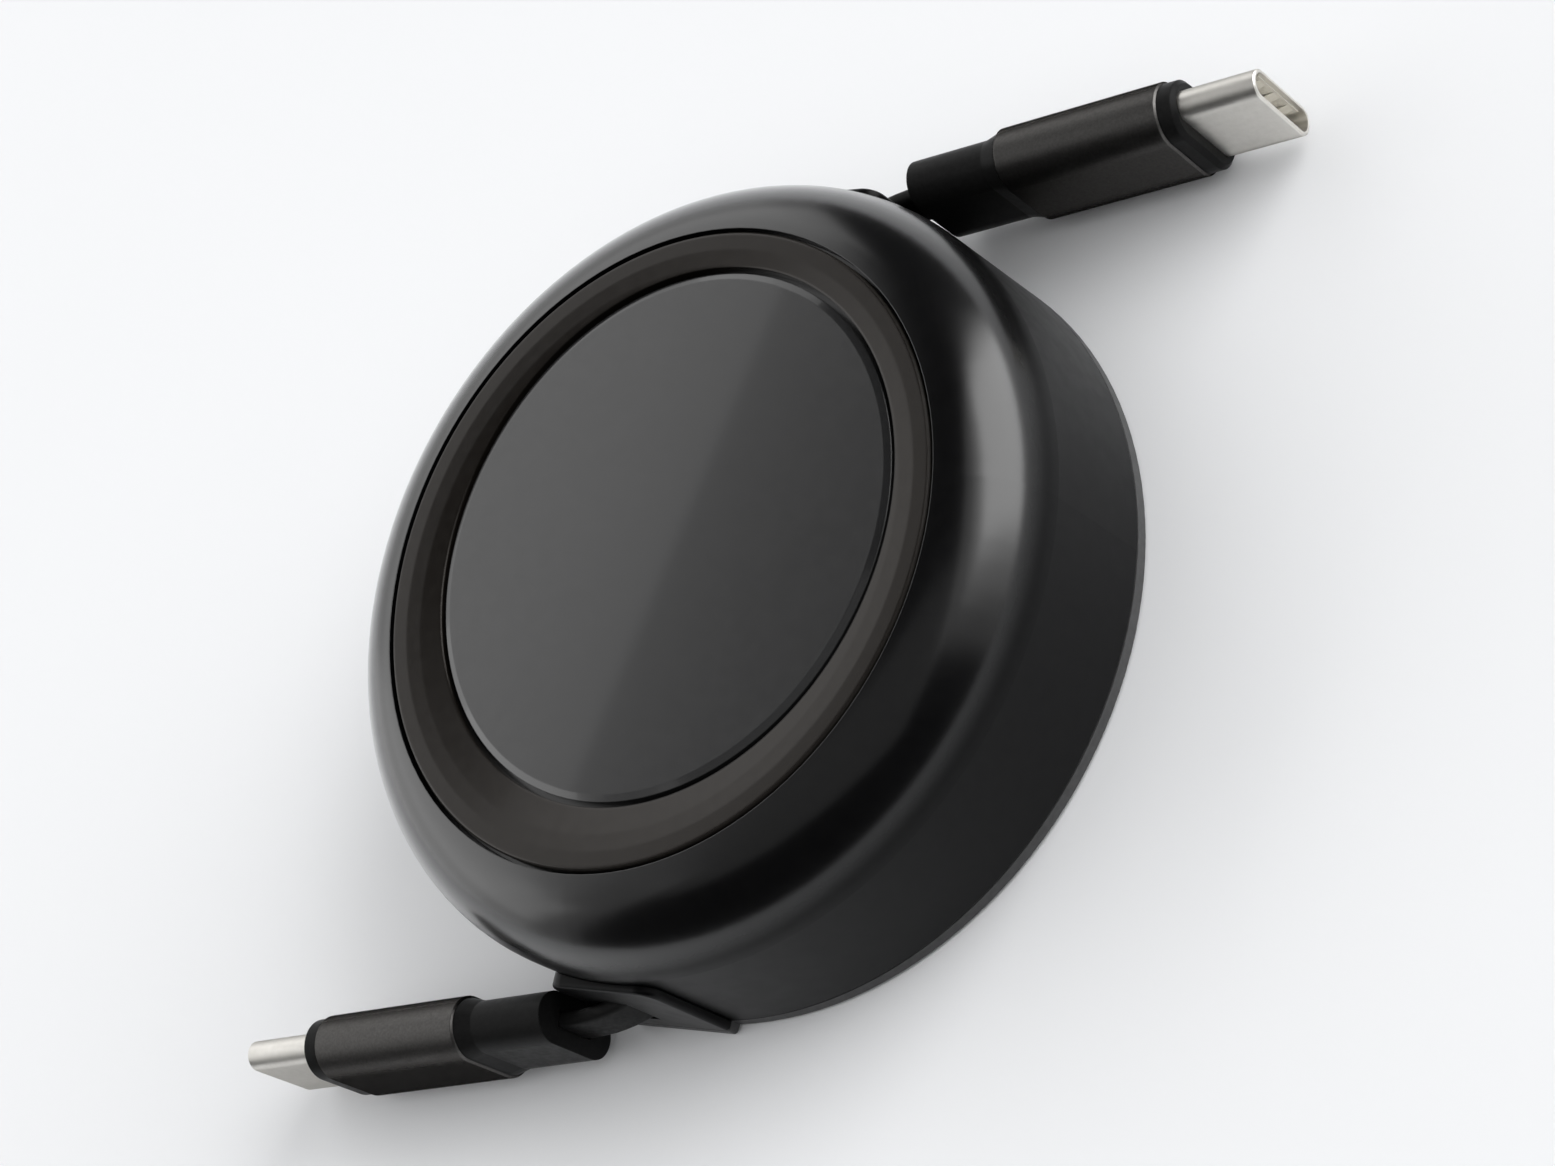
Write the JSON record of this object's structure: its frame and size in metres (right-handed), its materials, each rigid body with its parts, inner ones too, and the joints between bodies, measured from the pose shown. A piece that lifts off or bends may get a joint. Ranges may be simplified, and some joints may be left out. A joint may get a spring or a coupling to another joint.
{
  "type": "retractable usb-c cable",
  "caption": "Round spring reel that winds a flat cable, with a USB-C plug on each end leaving on opposite sides.",
  "frame": {"origin": "on the reel's axis at the rear face that it lies on, which is the middle of the box's bottom", "axes": "+Z along the reel's axis towards the face, +X the way the upper plug points and is pulled, +Y towards the upper plug's side"},
  "size_m": [0.09, 0.0684, 0.0189],
  "materials": {
    "housing_gloss": "glossy black moulding",
    "face_ring": "satin warm black",
    "face_disc": "glossy dark grey",
    "spool_plastic": "plain moulding",
    "cable_jacket": "satin black flat jacket",
    "sleeve_metal": "anodised warm dark grey",
    "plug_moulding": "satin black",
    "plug_nickel": "plated, polished",
    "insulator": "plain",
    "contact_gold": "gold flash",
    "board": "green solder mask",
    "steel": "plain",
    "clip_steel": "satin stainless strip"
  },
  "bodies": {
    "housing": {"front_shell": "housing_gloss", "rear_cover": "housing_gloss", "face_ring": "face_ring", "face_disc": "face_disc", "centre_screw": "steel", "power_spring": "steel", "upper_exit_guide": "housing_gloss", "lower_exit_guide": "housing_gloss", "upper_cable_tail": "cable_jacket", "lower_cable_tail": "cable_jacket"},
    "spool": {"spool": "spool_plastic", "cable_coil": "cable_jacket", "latch_plate": "spool_plastic"},
    "latch": {"latch_ball": "steel"},
    "upper_plug": {"upper_plug_sleeve": "sleeve_metal", "upper_plug_core": "plug_moulding", "upper_plug_shell": "plug_nickel", "upper_plug_insulator": "insulator", "upper_plug_contacts": "contact_gold", "upper_plug_board": "board", "upper_plug_ground_clips": "clip_steel"},
    "lower_plug": {"lower_plug_sleeve": "sleeve_metal", "lower_plug_core": "plug_moulding", "lower_plug_shell": "plug_nickel", "lower_plug_insulator": "insulator", "lower_plug_contacts": "contact_gold", "lower_plug_board": "board", "lower_plug_ground_clips": "clip_steel"}
  },
  "joints": [
    {"name": "spool_spin", "type": "hinge", "parent": "housing", "child": "spool", "pos_m": [0, 0, 0], "axis": [0, 0, -1], "range_deg": [0, 1260], "stiffness_Nm_per_rad": 0.0005, "springref_deg": -1145.92, "deforming": ["power_spring"]},
    {"name": "upper_plug_pull", "type": "slide", "parent": "housing", "child": "upper_plug", "axis": [1, 0, 0], "range_m": [0, 0.43], "deforming": ["upper_cable_tail"]},
    {"name": "lower_plug_pull", "type": "slide", "parent": "housing", "child": "lower_plug", "axis": [-1, 0, 0], "range_m": [0, 0.43], "deforming": ["lower_cable_tail"]},
    {"name": "latch_shift", "type": "slide", "parent": "housing", "child": "latch", "axis": [-1, 0, 0], "range_m": [-0.0006, 0.0006]}
  ],
  "couplings": [
    {"joint": "upper_plug_pull", "follows": "spool_spin", "m_per_rad": 0.0195},
    {"joint": "lower_plug_pull", "follows": "spool_spin", "m_per_rad": 0.0195}
  ]
}
